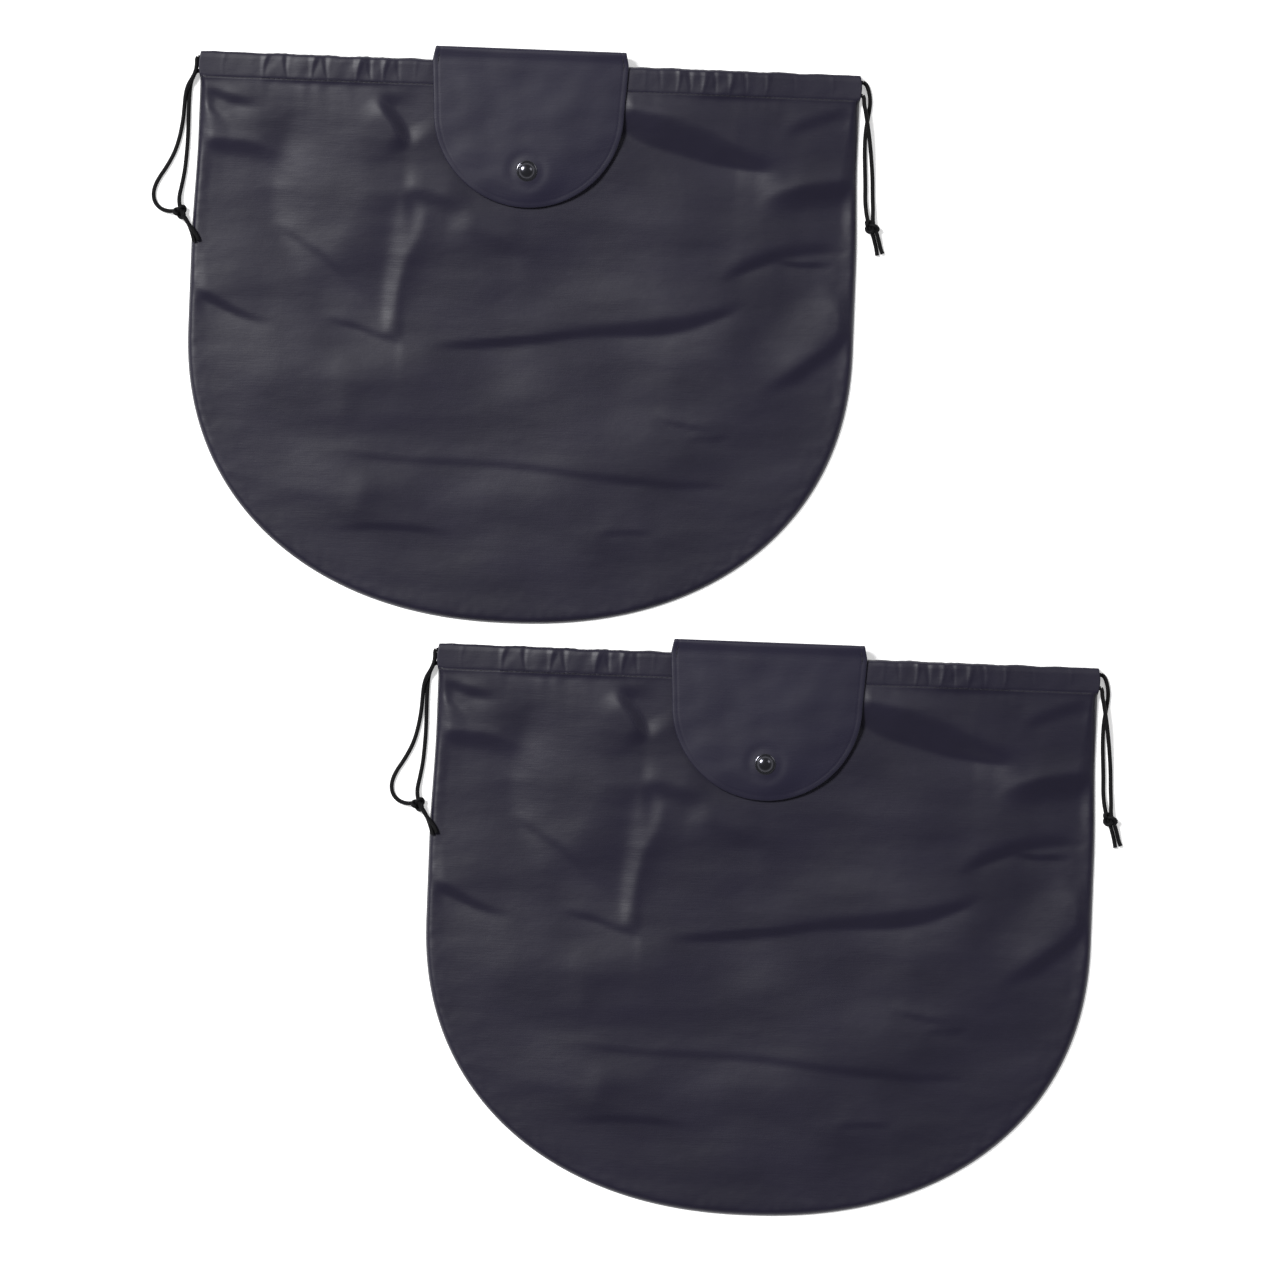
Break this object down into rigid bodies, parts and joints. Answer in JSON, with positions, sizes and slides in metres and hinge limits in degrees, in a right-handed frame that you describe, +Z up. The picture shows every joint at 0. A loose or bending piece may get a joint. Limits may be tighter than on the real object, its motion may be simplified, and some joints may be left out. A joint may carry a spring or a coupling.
{
  "type": "wheel cover set",
  "caption": "Pair of flat U-shaped fabric wheel covers, each with a drawcord casing round its mouth, cords tied at both sides, and a rounded flap with a snap.",
  "frame": {"origin": "middle of the two covers' common outline, on the surface that they lie on", "axes": "+X along the covers' mouths, +Y out of their mouths, +Z up off the surface"},
  "size_m": [0.5967, 0.6934, 0.0169],
  "materials": {
    "cover_cloth": "satin woven nylon, charcoal",
    "flap_cloth": "satin woven nylon, charcoal, two layers",
    "drawcord": "braided round cord, black",
    "snap_metal": "gloss black lacquer"
  },
  "bodies": {
    "cover_a": {"cover_a_front_panel": "cover_cloth", "cover_a_back_panel": "cover_cloth", "cover_a_edge_seam": "cover_cloth", "cover_a_front_casing": "cover_cloth", "cover_a_back_casing": "cover_cloth", "cover_a_flap_base": "flap_cloth", "cover_a_snap_stud": "snap_metal", "cover_a_snap_post": "snap_metal"},
    "flap_a": {"cover_a_flap_outer": "flap_cloth", "cover_a_flap_lining": "flap_cloth", "cover_a_snap_cap": "snap_metal", "cover_a_snap_socket": "snap_metal"},
    "cord_a_left": {"cover_a_left_cord_in_casings": "drawcord", "cover_a_left_cord_front_end": "drawcord", "cover_a_left_cord_back_end": "drawcord", "cover_a_left_knot": "drawcord"},
    "cord_a_right": {"cover_a_right_cord_in_casings": "drawcord", "cover_a_right_cord_front_end": "drawcord", "cover_a_right_cord_back_end": "drawcord", "cover_a_right_knot": "drawcord"},
    "cover_b": {"cover_b_front_panel": "cover_cloth", "cover_b_back_panel": "cover_cloth", "cover_b_edge_seam": "cover_cloth", "cover_b_front_casing": "cover_cloth", "cover_b_back_casing": "cover_cloth", "cover_b_flap_base": "flap_cloth", "cover_b_snap_stud": "snap_metal", "cover_b_snap_post": "snap_metal"},
    "flap_b": {"cover_b_flap_outer": "flap_cloth", "cover_b_flap_lining": "flap_cloth", "cover_b_snap_cap": "snap_metal", "cover_b_snap_socket": "snap_metal"},
    "cord_b_left": {"cover_b_left_cord_in_casings": "drawcord", "cover_b_left_cord_front_end": "drawcord", "cover_b_left_cord_back_end": "drawcord", "cover_b_left_knot": "drawcord"},
    "cord_b_right": {"cover_b_right_cord_in_casings": "drawcord", "cover_b_right_cord_front_end": "drawcord", "cover_b_right_cord_back_end": "drawcord", "cover_b_right_knot": "drawcord"}
  },
  "joints": [
    {"name": "cover_b_lift", "type": "slide", "parent": "cover_a", "child": "cover_b", "axis": [0, 0, 1], "range_m": [0, 0.3]},
    {"name": "flap_a_fold", "type": "hinge", "parent": "cover_a", "child": "flap_a", "pos_m": [-0.0781, 0.34605, 0.0138], "axis": [-1, 0, 0], "range_deg": [0, 175]},
    {"name": "left_cord_a_pull", "type": "slide", "parent": "cover_a", "child": "cord_a_left", "axis": [-1, 0, 0], "range_m": [0, 0.1], "deforming": ["cover_a_front_casing", "cover_a_back_casing"]},
    {"name": "right_cord_a_pull", "type": "slide", "parent": "cover_a", "child": "cord_a_right", "axis": [1, 0, 0], "range_m": [0, 0.1], "deforming": ["cover_a_front_casing", "cover_a_back_casing"]},
    {"name": "flap_b_fold", "type": "hinge", "parent": "cover_b", "child": "flap_b", "pos_m": [0.0781, -0.00345, 0.0138], "axis": [-1, 0, 0], "range_deg": [0, 175]},
    {"name": "left_cord_b_pull", "type": "slide", "parent": "cover_b", "child": "cord_b_left", "axis": [-1, 0, 0], "range_m": [0, 0.1], "deforming": ["cover_b_front_casing", "cover_b_back_casing"]},
    {"name": "right_cord_b_pull", "type": "slide", "parent": "cover_b", "child": "cord_b_right", "axis": [1, 0, 0], "range_m": [0, 0.1], "deforming": ["cover_b_front_casing", "cover_b_back_casing"]}
  ]
}
